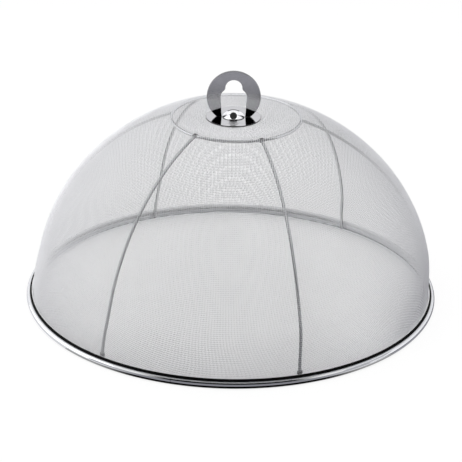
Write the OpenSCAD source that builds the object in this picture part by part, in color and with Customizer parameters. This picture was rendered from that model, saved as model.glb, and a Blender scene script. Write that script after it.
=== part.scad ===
// Buffet food cover: a pressed wire-mesh dome on a welded wire frame, with a rolled rim
// and a ring handle on a round base plate. Millimetres, +Z up. The origin is the middle
// of the rim's underside, and the front faces -Y.

/* [Dome] */
// Spherical radius of the mesh, at the middle of its thickness
dome_r = 169.2; // [130:0.1:220]
// Height of the sphere's middle above the foot of the rim
dome_z = 1; // [0:0.5:10]
// Radius of the shallow crown, where the mesh bends over the top hoop
crown_r = 54; // [42:0.5:80]
// How far the handle's fixing pulls the middle of the crown down
crown_dip = 1.6; // [0.2:0.1:4]
// Thickness of the woven mesh, two wires deep
mesh_t = 0.6; // [0.4:0.05:0.8]

/* [Mesh openings] */
// Openings round the dome, a coarse stand-in for the fine weave
opening_columns = 24; // [12:2:24]
// Rows of openings from the rim up to the crown
opening_rows = 7; // [4:1:8]
// Width of the bars left between the openings
mesh_bar_w = 6.5; // [3:0.5:8]
// Width of the plain bands at the rim, at the crown hoop and round the handle
mesh_band_w = 4; // [3:0.5:6]

/* [Wire frame] */
// Diameter of the wire of the ribs and the crown hoop
frame_wire_d = 2.5; // [1.6:0.1:3.5]
// Angle of the first rib round the dome, counted from the front towards the right
first_rib_angle = 23; // [0:1:59]

/* [Rim] */
// Outside diameter of the rolled edge
rim_tube_d = 5.2; // [4.6:0.1:8]
// Room between the rolled edge and the mesh
rim_gap = 0.3; // [0.1:0.05:0.8]
// Thickness of the rim's strip
rim_wall = 0.6; // [0.4:0.05:0.8]
// Diameter of the wire hoop that is clamped inside the rim
base_wire_d = 1.8; // [1.4:0.1:2]
// Diameter of the dark bead that seals the mesh to the rim
seal_d = 3.4; // [3:0.1:4]

/* [Handle] */
// Outside diameter of the ring
ring_d = 45; // [40:0.5:56]
// Thickness of the ring's plate
ring_t = 2.5; // [1.5:0.1:4]
// Width of the ring's band at the top
ring_band_w = 7.9; // [5:0.1:9]
// Radius of the arch at the top of the finger opening
arch_r = 7.4; // [6:0.1:8]
// Widest part of the finger opening
grip_w = 22; // [20:0.1:24]
// Gap between the ring's two legs where they meet the base plate
leg_gap = 19.2; // [16:0.1:20]
// Width of each leg where it meets the base plate
leg_w = 4.6; // [3:0.1:6]
// Diameter of the base plate
base_plate_d = 46; // [36:0.5:60]
// Thickness of the base plate
base_plate_t = 0.8; // [0.6:0.05:2]

/* [Fixings] */
// Diameter of the screw
screw_d = 5; // [4:0.5:6]
// Diameter of the screw's head
head_d = 9.5; // [8:0.1:12]
// Height of the screw's head
head_h = 3.5; // [2.5:0.1:5]
// Height of the dome nut
nut_h = 5.2; // [4.8:0.1:8]
// Diameter of the backing washer under the crown
backing_washer_d = 30; // [16:1:46]
// Thickness of the backing washer
backing_washer_t = 1.2; // [0.8:0.1:2]

/* [Hidden] */
$fn = 96;

// Cuts run past their faces by this much
overrun = 1;
// Room left where one piece is seated on another
seat_gap = 0.05;
// Room left between the handle, which turns, and the mesh that it turns on
turn_gap = 0.1;

// Mesh: its faces, crown and the flange that the rim holds
mesh_out_r = dome_r + mesh_t / 2;
mesh_in_r = dome_r - mesh_t / 2;
crown_edge_top_z = dome_z + sqrt(mesh_out_r * mesh_out_r - crown_r * crown_r);
crown_edge_low_z = dome_z + sqrt(mesh_in_r * mesh_in_r - crown_r * crown_r);
// The crown slopes in from its edge to a flat seat, a little wider than the base plate
seat_top_z = crown_edge_top_z - crown_dip;
seat_low_z = seat_top_z - mesh_t;
seat_margin = 1;
seat_r = base_plate_d / 2 + seat_margin;

// Frame: ribs and crown hoop lie against the inside of the mesh
frame_wire_r = frame_wire_d / 2;
frame_r = mesh_in_r - seat_gap - frame_wire_r;
hoop_z = crown_edge_low_z - seat_gap - frame_wire_r;
hoop_rise = hoop_z - dome_z;
hoop_r = sqrt(frame_r * frame_r - hoop_rise * hoop_rise);
// Gap that the weld fills between a rib's end and the hoop
weld_gap = 0.15;
// Ribs, spaced evenly and then off by the few degrees of a weld made by eye
rib_names = ["rib_front_right", "rib_right", "rib_rear_right", "rib_rear_left", "rib_left", "rib_front_left"];
rib_spacing = 360 / len(rib_names);
rib_weld_errors = [-3, 5, -1, 2, -1, 0];

// Rim: a strip rolled into an edge, with a flat lip inwards under the ribs' feet
rim_tube_r = rim_tube_d / 2;
rim_tube_at_r = mesh_out_r + rim_gap + rim_tube_r;
// How far the lip reaches in past the ribs' feet
rim_lip_margin = 0.8;
rim_lip_r = frame_r - frame_wire_r - rim_lip_margin;

// The rim clamps, from below: its lip, the base hoop, the mesh flange and its rolled edge
base_wire_r = base_wire_d / 2;
base_hoop_z = rim_wall + seat_gap + base_wire_r;
base_hoop_r = rim_tube_at_r - rim_tube_r + seat_gap + base_wire_r;
flange_low_z = rim_wall + base_wire_d + 2 * seat_gap;
flange_top_z = flange_low_z + mesh_t;
rim_mouth_z = flange_top_z + seat_gap;
rib_foot_z = rim_wall + seat_gap;
rib_foot_angle = asin((rib_foot_z - dome_z) / frame_r);
rib_top_angle = acos(hoop_r / frame_r) - 2 * asin((frame_wire_r + weld_gap) / frame_r / 2);

// Seal: a bead in the corner between the mesh and the rolled edge
seal_r = seal_d / 2;
seal_sink = 0.5;
seal_at_r = (mesh_out_r + rim_tube_at_r) / 2;
seal_at_z = rim_tube_d - seal_sink;

// Openings in the mesh, as angles up the dome, and as radii on the crown
opening_low_angle = asin((seal_at_z + seal_r + mesh_band_w - dome_z) / dome_r);
opening_high_angle = acos((crown_r + mesh_band_w) / dome_r);
row_bar_angle = 2 * asin(mesh_bar_w / dome_r / 2);
row_pitch_angle = (opening_high_angle - opening_low_angle + row_bar_angle) / opening_rows;
crown_columns = opening_columns / 2;
crown_opening_in_r = seat_r + mesh_band_w;
crown_opening_out_r = crown_r - mesh_band_w;

// Handle: heights, and the curves of the finger opening, from the middle of the ring
base_plate_z = seat_top_z + turn_gap;
base_plate_top_z = base_plate_z + base_plate_t;
base_plate_edge_r = 0.4;
ring_r = ring_d / 2;
leg_out_w = leg_gap / 2 + leg_w;
ring_rise = sqrt(ring_r * ring_r - leg_out_w * leg_out_w);
ring_z = base_plate_top_z + ring_rise;
arch_z = ring_r - ring_band_w - arch_r;
neck_r = 1.2;
neck_angle = 65;
neck_end = [arch_r + neck_r * (1 - cos(neck_angle)), arch_z - neck_r * sin(neck_angle)];
shoulder_r = (grip_w / 2 - neck_end.x) / (1 - cos(neck_angle));
shoulder_at = neck_end - shoulder_r * [cos(neck_angle), sin(neck_angle)];
// Tenons on the legs pass through slots in the base plate
tenon_w_share = 0.6;
tenon_w = leg_w * tenon_w_share;
tenon_at_x = leg_gap / 2 + leg_w / 2;
slot_gap = 0.1;

// Fixings on the screw's axis
screw_r = screw_d / 2;
screw_hole_gap = 0.05;
screw_hole_r = screw_r + screw_hole_gap;
mesh_hole_gap = 0.4;
mesh_hole_r = screw_r + mesh_hole_gap;
// The dome nut fills the gap between the ring's legs
nut_side_gap = 0.3;
nut_d = leg_gap - 2 * nut_side_gap;
nut_flank_h = 0.6;
nut_cap_h = nut_h - nut_flank_h;
nut_ball_r = (nut_d * nut_d / 4 + nut_cap_h * nut_cap_h) / (2 * nut_cap_h);
// Metal left over the end of the screw inside the nut
nut_roof_t = 1.2;
nut_hole_h = nut_h - nut_roof_t;
screw_end_gap = 0.3;
backing_washer_z = seat_low_z - turn_gap - backing_washer_t;
spring_washer_t = 1.2;
spring_washer_w = 1.8;
spring_washer_gap_angle = 14;
spring_washer_z = backing_washer_z - seat_gap - spring_washer_t;
head_z = spring_washer_z - seat_gap - head_h;
head_round_share = 0.6;
head_round_r = head_h * head_round_share;
// Cross recess, as shares of the head
recess_l_share = 0.55;
recess_w_share = 0.12;
recess_h_share = 0.6;

// Points along an arc round middle, from one angle to the other
function arc_points(middle, radius, from, to, steps) =
  [for (i = [0:steps]) let (a = from + (to - from) * i / steps) middle + radius * [cos(a), sin(a)]];

// Right half of the finger opening, from the top of the arch down to the leg's foot
function opening_half() = concat(
  arc_points([0, arch_z], arch_r, 90, 0, 16),
  arc_points([arch_r + neck_r, arch_z], neck_r, 180, 180 + neck_angle, 8),
  arc_points(shoulder_at, shoulder_r, neck_angle, 0, 12),
  [[leg_gap / 2, -ring_rise - overrun]]);

// Flat ring in plan, standing on its edge about the Z axis
module wire_hoop(hoop_radius, wire_radius, height) {
  translate([0, 0, height])
    rotate_extrude()
      translate([hoop_radius, 0])
        circle(wire_radius);
}

// Disc with a hole, lying flat
module washer(outer_r, hole_r, thickness) {
  difference() {
    cylinder(r = outer_r, h = thickness);
    translate([0, 0, -overrun])
      cylinder(r = hole_r, h = thickness + 2 * overrun);
  }
}

// Section of the mesh: spherical wall, dipped crown with the screw's hole, and rim flange
module mesh_section() {
  intersection() {
    translate([0, dome_z])
      difference() {
        circle(mesh_out_r, $fn = 240);
        circle(mesh_in_r, $fn = 240);
      }
    translate([crown_r, flange_low_z])
      square([dome_r, dome_r]);
  }
  polygon([
    [mesh_hole_r, seat_low_z],
    [seat_r, seat_low_z],
    [crown_r, crown_edge_low_z],
    [crown_r, crown_edge_top_z],
    [seat_r, seat_top_z],
    [mesh_hole_r, seat_top_z]
  ]);
  translate([mesh_in_r, flange_low_z])
    square([rim_tube_at_r - mesh_in_r, mesh_t]);
}

// A ring of cutters: a section turned about the Z axis, with a bar's width left between one and the next
module cutter_row(columns, middle_r) {
  pitch_angle = 360 / columns;
  bar_angle = 2 * asin(mesh_bar_w / middle_r / 2);
  for (i = [0:columns - 1])
    rotate([0, 0, i * pitch_angle + bar_angle / 2])
      rotate_extrude(angle = pitch_angle - bar_angle)
        children();
}

// Cutters for the openings of one row of the dome
module dome_cutters(row) {
  low = opening_low_angle + row * row_pitch_angle;
  high = low + row_pitch_angle - row_bar_angle;
  cutter_row(opening_columns, dome_r * cos((low + high) / 2))
    translate([0, dome_z])
      polygon([for (corner = [[mesh_in_r - overrun, low], [mesh_out_r + overrun, low],
                              [mesh_out_r + overrun, high], [mesh_in_r - overrun, high]])
        corner.x * [cos(corner.y), sin(corner.y)]]);
}

// One pressed sheet of woven wire, drawn here as a thin shell with a plain grid of openings
module mesh_dome() {
  color("lightgray")
    difference() {
      rotate_extrude($fn = 180)
        mesh_section();
      for (row = [0:opening_rows - 1])
        dome_cutters(row);
      cutter_row(crown_columns, (crown_opening_in_r + crown_opening_out_r) / 2)
        translate([crown_opening_in_r, seat_low_z - overrun])
          square([crown_opening_out_r - crown_opening_in_r, crown_dip + mesh_t + 2 * overrun]);
    }
}

// Wire hoop that holds the edge of the flat crown
module crown_hoop() {
  color("silver")
    wire_hoop(hoop_r, frame_wire_r, hoop_z);
}

// Wire rib, an arc from the rim's lip up to the crown hoop
module rib(angle) {
  color("silver")
    translate([0, 0, dome_z])
      rotate([0, 0, angle - 90])
        rotate([90, 0, 0])
          rotate([0, 0, rib_foot_angle])
            rotate_extrude(angle = rib_top_angle - rib_foot_angle)
              translate([frame_r, 0])
                circle(frame_wire_r, $fn = 32);
}

// Wire hoop clamped in the rim, under the mesh flange
module base_hoop() {
  color("silver")
    wire_hoop(base_hoop_r, base_wire_r, base_hoop_z);
}

// Section of the rolled edge, open inwards where the mesh flange enters, and its flat lip
module rim_section() {
  translate([rim_tube_at_r, rim_tube_r])
    difference() {
      circle(rim_tube_r);
      circle(rim_tube_r - rim_wall);
      translate([-rim_tube_r - overrun, rim_wall - rim_tube_r])
        square([rim_tube_r + overrun, rim_mouth_z - rim_wall]);
    }
  translate([rim_lip_r, 0])
    square([rim_tube_at_r - rim_lip_r, rim_wall]);
}

// Polished strip rolled round the mesh edge
module rim_ring() {
  color("gainsboro")
    rotate_extrude($fn = 180)
      rim_section();
}

// Dark bead that fills the corner between the mesh and the rim
module edge_seal() {
  color("black")
    rotate_extrude($fn = 180)
      difference() {
        translate([seal_at_r, seal_at_z])
          circle(seal_r);
        translate([rim_tube_at_r, rim_tube_r])
          circle(rim_tube_r + seat_gap);
        translate([seal_at_r - seal_d, seal_at_z - seal_d])
          square([mesh_out_r + seat_gap - seal_at_r + seal_d, 2 * seal_d]);
      }
}

// Polished disc under the ring, with slots for the ring's tenons
module handle_base_plate() {
  color("gainsboro")
    difference() {
      translate([0, 0, base_plate_z])
        rotate_extrude() {
          square([base_plate_d / 2 - base_plate_edge_r, base_plate_t]);
          square([base_plate_d / 2, base_plate_t - base_plate_edge_r]);
          translate([base_plate_d / 2 - base_plate_edge_r, base_plate_t - base_plate_edge_r])
            circle(base_plate_edge_r);
        }
      translate([0, 0, base_plate_z - overrun])
        cylinder(r = screw_hole_r, h = base_plate_t + 2 * overrun);
      for (side = [-1, 1])
        translate([side * tenon_at_x, 0, base_plate_z + base_plate_t / 2])
          cube([tenon_w + 2 * slot_gap, ring_t + 2 * slot_gap, base_plate_t + 2 * overrun], center = true);
    }
}

// Flat ring with a keyhole-shaped finger opening, standing on two legs
module handle_ring() {
  right = opening_half();
  left = [for (i = [len(right) - 1:-1:0]) [-right[i].x, right[i].y]];
  color("darkgray")
    translate([0, 0, ring_z])
      rotate([90, 0, 0]) {
        linear_extrude(ring_t, center = true)
          difference() {
            circle(ring_r);
            polygon(concat(right, left));
            translate([-ring_r, -ring_rise + seat_gap - ring_d])
              square(ring_d);
          }
        for (side = [-1, 1])
          translate([side * tenon_at_x, -ring_rise - base_plate_t / 2 + seat_gap, 0])
            cube([tenon_w, base_plate_t, ring_t], center = true);
      }
}

// Low polished dome between the legs, with a blind hole for the screw
module dome_nut() {
  color("gainsboro")
    translate([0, 0, base_plate_top_z + seat_gap])
      difference() {
        rotate_extrude() {
          square([nut_d / 2, nut_flank_h]);
          intersection() {
            translate([0, nut_h - nut_ball_r])
              circle(nut_ball_r);
            translate([0, nut_flank_h])
              square([nut_d / 2, nut_cap_h]);
          }
        }
        translate([0, 0, -overrun])
          cylinder(r = screw_hole_r, h = nut_hole_h + overrun);
      }
}

// Pan-head screw, up through the washers, the crown and the base plate into the dome nut
module fixing_screw() {
  screw_top_z = base_plate_top_z + seat_gap + nut_hole_h - screw_end_gap;
  color("silver")
    difference() {
      union() {
        translate([0, 0, head_z])
          rotate_extrude() {
            translate([0, head_round_r])
              square([head_d / 2, head_h - head_round_r]);
            square([head_d / 2 - head_round_r, head_h]);
            intersection() {
              translate([head_d / 2 - head_round_r, head_round_r])
                circle(head_round_r);
              square([head_d / 2, head_h]);
            }
          }
        translate([0, 0, head_z])
          cylinder(r = screw_r, h = screw_top_z - head_z);
      }
      for (turn = [0, 90])
        rotate([0, 0, turn])
          translate([0, 0, head_z])
            cube([head_d * recess_l_share, head_d * recess_w_share, 2 * head_h * recess_h_share], center = true);
    }
}

// Split ring that keeps the screw tight
module spring_washer() {
  color("gray")
    translate([0, 0, spring_washer_z])
      rotate_extrude(angle = 360 - spring_washer_gap_angle)
        translate([screw_hole_r, 0])
          square([spring_washer_w, spring_washer_t]);
}

// Broad washer that spreads the screw's pull over the mesh
module backing_washer() {
  color("silver")
    translate([0, 0, backing_washer_z])
      washer(backing_washer_d / 2, screw_hole_r, backing_washer_t);
}

mesh_dome();
crown_hoop();
for (i = [0:len(rib_names) - 1])
  rib(first_rib_angle + rib_spacing * i + rib_weld_errors[i]);
base_hoop();
rim_ring();
edge_seal();
handle_base_plate();
handle_ring();
dome_nut();
fixing_screw();
spring_washer();
backing_washer();
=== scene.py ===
"""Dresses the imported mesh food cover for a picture: the woven wire sheet, the welded wire
frame, the rolled rim and the ring handle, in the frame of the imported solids, in metres."""

import math

import bmesh
import bpy
import numpy as np
from mathutils import Matrix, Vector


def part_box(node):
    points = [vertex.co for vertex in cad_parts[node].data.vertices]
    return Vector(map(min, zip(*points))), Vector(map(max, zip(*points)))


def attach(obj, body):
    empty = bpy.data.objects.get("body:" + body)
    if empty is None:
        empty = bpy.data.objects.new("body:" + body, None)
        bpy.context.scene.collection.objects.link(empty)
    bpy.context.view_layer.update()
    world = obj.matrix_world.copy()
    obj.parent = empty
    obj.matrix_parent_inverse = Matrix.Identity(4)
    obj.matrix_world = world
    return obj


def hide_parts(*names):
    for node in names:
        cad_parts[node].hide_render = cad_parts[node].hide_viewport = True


bl_info = {
    "name": "Mesh food cover",
    "version": (1, 0, 0),
    "blender": (4, 5, 0),
    "location": "3D View > Sidebar > Food Cover",
    "description": "Builds the visible pieces of a wire-mesh food cover around its packed solids",
    "category": "Add Mesh",
}

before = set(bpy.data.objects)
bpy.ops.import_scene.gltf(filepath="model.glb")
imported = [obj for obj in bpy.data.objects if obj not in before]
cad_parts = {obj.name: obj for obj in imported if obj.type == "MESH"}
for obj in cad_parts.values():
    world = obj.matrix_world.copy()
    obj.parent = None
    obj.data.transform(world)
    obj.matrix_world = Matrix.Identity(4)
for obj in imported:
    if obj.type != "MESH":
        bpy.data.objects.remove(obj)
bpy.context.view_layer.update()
MM = 0.001

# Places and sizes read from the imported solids, in metres.
MESH_LOW, MESH_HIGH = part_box("mesh_dome")
HOOP_LOW, HOOP_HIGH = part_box("crown_hoop")
RIM_LOW, RIM_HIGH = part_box("rim_ring")
SEAL_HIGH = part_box("edge_seal")[1]
PLATE_LOW, PLATE_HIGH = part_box("handle_base_plate")
RING_LOW, RING_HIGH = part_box("handle_ring")
NUT_LOW, NUT_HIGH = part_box("dome_nut")

# Pressed sheet
MESH_THICK = 0.6 * MM
SPHERE_R = 169.2 * MM
SPHERE_Z = 1.0 * MM
CROWN_R = 54.0 * MM
CROWN_Z = MESH_HIGH.z - MESH_THICK / 2
SEAT_R = PLATE_HIGH.x + 1.0 * MM
SEAT_Z = PLATE_LOW.z - 0.1 * MM - MESH_THICK / 2
FLANGE_Z = MESH_LOW.z + MESH_THICK / 2
FLANGE_R = MESH_HIGH.x - 0.4 * MM
HOLE_R = 2.9 * MM
SHEET_STEPS = 5200
# Share of the sheet's reach that its middle pieces take on each side.
MIDDLE_SHARE = 0.265
# Heights at which the dome leans in full, and between which it swells in full.
LEAN_Z = 45 * MM
SWELL_LOW, SWELL_HIGH = 70 * MM, 90 * MM

# Wire frame
FRAME_WIRE_R = (HOOP_HIGH.z - HOOP_LOW.z) / 2
HOOP_Z = (HOOP_HIGH.z + HOOP_LOW.z) / 2
HOOP_R = HOOP_HIGH.x - FRAME_WIRE_R
FRAME_R = math.hypot(HOOP_R, HOOP_Z - SPHERE_Z)
# Ribs, bent and welded by eye: angles in degrees from the front to the right at foot and top, and the bow
# between them.
RIB_ANGLES = {
    "rib_front_right": (19.4, 22.4, -1.55),
    "rib_right": (91.0, 86.7, 0.0),
    "rib_rear_right": (142.6, 133.6, 3.5),
    "rib_rear_left": (205.3, 203.6, 0.0),
    "rib_left": (262.0, 260.0, 0.0),
    "rib_front_left": (322.7, 322.3, 0.0),
}
RIB_FOOT_ANGLE = math.asin((0.65 * MM - SPHERE_Z) / FRAME_R)
RIB_TOP_ANGLE = math.acos(HOOP_R / FRAME_R) - 2 * math.asin((FRAME_WIRE_R + 0.15 * MM) / FRAME_R / 2)
# Size of the side and rear ribs' welds against the front ones.
SMALL_WELD = 0.65

# Rim and seal
TUBE_R = (RIM_HIGH.z - RIM_LOW.z) / 2
TUBE_AT_R = RIM_HIGH.x - TUBE_R
RIM_WALL = 0.6 * MM
MOUTH_Z = 3.15 * MM
LIP_R = 165.55 * MM
JOINT = math.radians(-15.3)
# Shares of the radius to the right, between which the right part of the rim starts.
RIM_RIGHT = (0.5, 0.62)
SEAL_R = 1.45 * MM
SEAL_AT = (170.75 * MM, 5.55 * MM)
SEAL_WALL_R = 169.55 * MM

# Handle
RING_R = RING_HIGH.x - 0.25 * MM
RING_Z = RING_HIGH.z - RING_HIGH.x
RING_T = RING_HIGH.y - RING_LOW.y
RING_FOOT_Z = PLATE_HIGH.z + 0.05 * MM
SCREW_HOLE_R = 2.55 * MM
NUT_FLANK = 0.6 * MM

# Stage and mesh helpers
WHITE = (1, 1, 1, 1)
NO_TRIANGLES = np.zeros((0, 3), int)

# Cards that only polished metal sees: middle, half width, half height and tone.
CARDS = (
    ("front_low", (0, -1.1, 0.17), (1.0, 0, 0), (0, 0, 0.17), 0.32),
    ("front_high", (0, -1.1, 0.82), (1.0, 0, 0), (0, 0, 0.48), 0.0),
    ("top_middle", (0, -0.17, 1.4), (0.72, 0, 0), (0, 0.93, 0), 1.35),
    ("top_left", (-1.0, 0, 1.38), (0.28, 0, 0), (0, 1.1, 0), 1.7),
    ("top_right", (1.0, 0, 1.38), (0.28, 0, 0), (0, 1.1, 0), 1.0),
    ("left_side", (-1.25, 0.05, 0.67), (0, 1.15, 0), (0, 0, 0.66), 1.65),
    ("right_side", (1.25, 0.05, 0.67), (0, 1.15, 0), (0, 0, 0.66), 1.04),
    ("back_side", (0, 1.2, 0.67), (1.2, 0, 0), (0, 0, 0.66), 1.0),
)
# Small flags by the dome nut: the oval over it shows as a dark dot, the bar behind it as a dark brow.
NUT_DOT = ((0, -7.88 * MM, 168.66 * MM), (5.37 * MM, 0, 0), (0, 6.73 * MM, 0))
NUT_BROW = ((0, 8.5 * MM, 166.2 * MM), (6.5 * MM, 0, 0), (0, 0, 1.9 * MM))
# Heights and distances of the cards bent round the cover.
CARD_Z, EAVE_Z = 0.4 * MM, 45 * MM
CONTACT_R, NEAR_R, FRONT_R, MIDDLE_R, FAR_R = 0.1722, 0.1805, 0.225, 0.40, 1.05
# Of each bent card: height and radius at one edge and at the other, its angles in degrees from the front
# to the right, and its tones in the middle and at both ends.
FANS = (
    ("front_near", CARD_Z, FRONT_R, CARD_Z, MIDDLE_R, -50, 50, 0.02, 0.1),
    ("front_far", CARD_Z, MIDDLE_R, CARD_Z, FAR_R, -50, 50, 0.34, 0.34),
    ("left_ground", CARD_Z, NEAR_R, CARD_Z, FAR_R, -130, -50, 0.85, 0.85),
    ("right_ground", CARD_Z, NEAR_R, CARD_Z, FAR_R, 50, 130, 0.1, 0.1),
    # The three contact cards are painted shadow: in reflections they stand in for the contact shadow round
    # the rim's foot.
    ("rim_contact_shadow", CARD_Z, CONTACT_R, CARD_Z, NEAR_R, -50, 50, 0.0, 0.4),
    ("rim_floor", CARD_Z, NEAR_R, CARD_Z, FRONT_R, -50, 50, 0.32, 1.0),
    ("rim_front", CARD_Z, FRONT_R, EAVE_Z, FRONT_R, -50, 50, 0.26, 0.5),
    ("rim_canopy", EAVE_Z, 0.171, EAVE_Z, FRONT_R, -40, 40, 0.0, 1.0),
    ("right_contact_shadow", CARD_Z, CONTACT_R, CARD_Z, NEAR_R, 50, 120, 0.4, 0.4),
    ("left_contact_shadow", CARD_Z, CONTACT_R, CARD_Z, NEAR_R, -120, -50, 0.8, 0.8),
    ("right_eave", EAVE_Z, 0.19, EAVE_Z, 0.26, 40, 62, 0.55, 0.55),
)


def number_property(name, description, default, **more):
    """A property for a number, with its limits and its unit or subtype."""
    return bpy.props.FloatProperty(name=name, description=description, default=default, **more)


def length_property(name, description, default, low, high):
    """A property for a length, whose default and limits are given in millimetres."""
    return number_property(name, description, default * MM, min=low * MM, max=high * MM, unit="LENGTH",
                           precision=5)


def angle_property(name, description, degrees):
    """A property for an angle, whose default is given in degrees."""
    return number_property(name, description, math.radians(degrees), subtype="ANGLE", precision=4)


def colour_property(name, description, default):
    """A property for a colour, as linear shares of red, green and blue."""
    return bpy.props.FloatVectorProperty(name=name, description=description, default=default, size=3,
                                         subtype="COLOR", min=0, max=1)


class CoverSizes(bpy.types.PropertyGroup):
    """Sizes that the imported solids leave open."""

    mesh_pitch: length_property(
        "Mesh pitch", "Distance from one mesh wire to the next, 16 to the inch", 1.5875, 0.8, 4)
    mesh_wire: length_property("Mesh wire", "Diameter of the woven wire", 0.30, 0.1, 0.5)
    bend: length_property(
        "Bend", "Half length over which the pressed sheet turns from one slope to the next", 1.2, 0.2, 4)
    lean: length_property(
        "Lean", "How far the pressed dome and its frame stand to the right of the rim", 2.4, 0, 4)
    swell: length_property("Swell", "How far the sheet stands off the ribs at half height", 1.4, 0, 3)
    weld_length: length_property("Weld length", "Length along the hoop of the weld at a rib's top", 6.6, 2, 9)
    ring_edge: length_property("Ring edge", "Radius of the ring plate's eased edges", 0.35, 0.1, 1)


class CoverColours(bpy.types.PropertyGroup):
    """Colours of the finishes."""

    mesh: colour_property("Mesh", "Bright drawn stainless wire of the woven sheet", (0.88, 0.882, 0.888))
    frame_wire: colour_property("Frame wire", "Drawn steel of the hoop and the ribs", (0.46, 0.463, 0.47))
    weld: colour_property("Welds", "Dulled metal of the welds", (0.04, 0.039, 0.038))
    rim: colour_property("Rim", "Polished stainless strip of the rim", (0.78, 0.79, 0.80))
    seal: colour_property("Seal", "Black bead between mesh and rim", (0.0015, 0.0015, 0.0017))
    plate: colour_property("Base plate", "Mirror-polished disc under the ring", (0.62, 0.62, 0.625))
    nut: colour_property("Dome nut", "Bright polished nut between the legs", (0.93, 0.93, 0.935))
    ring: colour_property("Ring", "Satin stainless of the ring handle", (0.62, 0.62, 0.63))
    fixings: colour_property("Fixings", "Plain stainless of screw and washers", (0.55, 0.55, 0.555))


class StudioSettings(bpy.types.PropertyGroup):
    """Light, floor and camera of the picture."""

    lens: number_property("Lens", "Focal length on a 36 mm sensor", 150.5, min=20, max=400, unit="CAMERA")
    eye: bpy.props.FloatVectorProperty(
        name="Camera place", description="Where the camera stands",
        default=(0.0, -1.49652, 0.73438), size=3, subtype="TRANSLATION", unit="LENGTH", precision=5)
    pitch: angle_property("Camera pitch", "How far the camera looks down", 24.364)
    yaw: angle_property("Camera yaw", "How far the camera turns to the left", 0.02)
    roll: angle_property("Camera roll", "How far the camera leans to the left", 0.9)
    sky: number_property("Sky", "Strength of the even light from all round", 0.55, min=0, max=2)
    key: number_property(
        "Key lamp", "Power of the soft lamp at the upper left", 5.0, min=0, max=200, unit="POWER")
    top: number_property("Top lamp", "Power of the broad lamp overhead", 40.0, min=0, max=200, unit="POWER")
    floor: colour_property("Floor", "Pale floor", (0.86, 0.86, 0.86))
    floor_lift: number_property(
        "Floor lift", "Share of plain white that shows in the floor round the cover", 0.88, min=0, max=1,
        subtype="FACTOR")


class FoodCover(bpy.types.PropertyGroup):
    """All settings of the food cover."""

    sizes: bpy.props.PointerProperty(type=CoverSizes, name="Sizes", description="Open sizes")
    colours: bpy.props.PointerProperty(type=CoverColours, name="Colours", description="Finishes")
    studio: bpy.props.PointerProperty(type=StudioSettings, name="Studio", description="Light and camera")


# Shader maths


class Value:
    """A node's output that takes part in Python sums, each of which adds a Math node."""

    def __init__(self, finish, socket):
        self.finish, self.socket = finish, socket

    def sum(self, operation, *terms):
        return self.finish.node("ShaderNodeMath", {"operation": operation}, dict(enumerate(terms)))

    def __add__(self, other):
        return self.sum("ADD", self, other)

    __radd__ = __add__

    def __sub__(self, other):
        return self.sum("SUBTRACT", self, other)

    def __rsub__(self, other):
        return self.sum("SUBTRACT", other, self)

    def __mul__(self, other):
        return self.sum("MULTIPLY", self, other)

    __rmul__ = __mul__

    def __truediv__(self, other):
        return self.sum("DIVIDE", self, other)

    def __rtruediv__(self, other):
        return self.sum("DIVIDE", other, self)

    def __pow__(self, other):
        return self.sum("POWER", self, other)

    def size(self):
        """The value without its sign."""
        return self.sum("ABSOLUTE", self)

    def between(self, low, high):
        """0 at low, 1 at high, eased between them and held outside."""
        return self.finish.node("ShaderNodeMapRange", {"interpolation_type": "SMOOTHSTEP"},
                                {"Value": self, "From Min": low, "From Max": high})

    def below(self, low, high):
        """1 up to low, 0 from high on, and eased between them."""
        return 1 - self.between(low, high)


class Finish:
    """A material, or the world, that is put together from nodes."""

    def __init__(self, name, owner=None):
        self.material = owner or bpy.data.materials.new(name)
        self.material.use_nodes = True
        self.tree = self.material.node_tree
        self.tree.nodes.clear()

    def node(self, kind, settings=None, inputs=None, output=0):
        """Adds a node, sets it up, fills its sockets by name, identifier or number, and gives one output."""
        made = self.tree.nodes.new(kind)
        for key, value in (settings or {}).items():
            setattr(made, key, value)
        for key, value in (inputs or {}).items():
            socket = made.inputs[key] if isinstance(key, int) else next(
                s for s in made.inputs if key in (s.identifier, s.name) and s.enabled)
            if isinstance(value, Value):
                self.tree.links.new(value.socket, socket)
            else:
                socket.default_value = value
        outputs = [s for i, s in enumerate(made.outputs) if output in (i, s.identifier, s.name) and s.enabled]
        return Value(self, outputs[0]) if outputs else None

    def place(self):
        """Object coordinates as x, y and z in metres, and the whole vector."""
        spot = self.node("ShaderNodeTexCoord", output="Object")
        parts = [self.node("ShaderNodeSeparateXYZ", inputs={"Vector": spot}, output=i) for i in range(3)]
        return (*parts, spot)

    def map(self):
        """The piece's own map as two values from 0 to 1."""
        spot = self.node("ShaderNodeUVMap", {"uv_map": "OFBake"})
        return [self.node("ShaderNodeSeparateXYZ", inputs={"Vector": spot}, output=i) for i in range(2)]

    def vector(self, x, y, z):
        return self.node("ShaderNodeCombineXYZ", inputs={"X": x, "Y": y, "Z": z})

    def noise(self, vector, scale, detail):
        """Soft noise from 0 to 1."""
        return self.node("ShaderNodeTexNoise", {"noise_dimensions": "3D"},
                         {"Vector": vector, "Scale": scale, "Detail": detail})

    def blend(self, share, first, second):
        """Colour that goes from first to second with share."""
        return self.node("ShaderNodeMix", {"data_type": "RGBA"},
                         {"Factor_Float": share, "A_Color": first, "B_Color": second}, "Result_Color")

    def bump(self, height, strength, depth):
        return self.node("ShaderNodeBump", inputs={"Height": height, "Strength": strength, "Distance": depth})

    def surface(self, **sockets):
        """Ends the material in a Principled shader with the sockets given."""
        names = {key.replace("_", " ").title().replace("Ior", "IOR"): value for key, value in sockets.items()}
        shader = self.node("ShaderNodeBsdfPrincipled", inputs=names)
        self.node("ShaderNodeOutputMaterial", inputs={"Surface": shader})
        return self.material


def tint(colour, share):
    """A colour made darker or lighter by a share, with full alpha."""
    return (*[min(1.0, c * share) for c in colour], 1.0)


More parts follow.
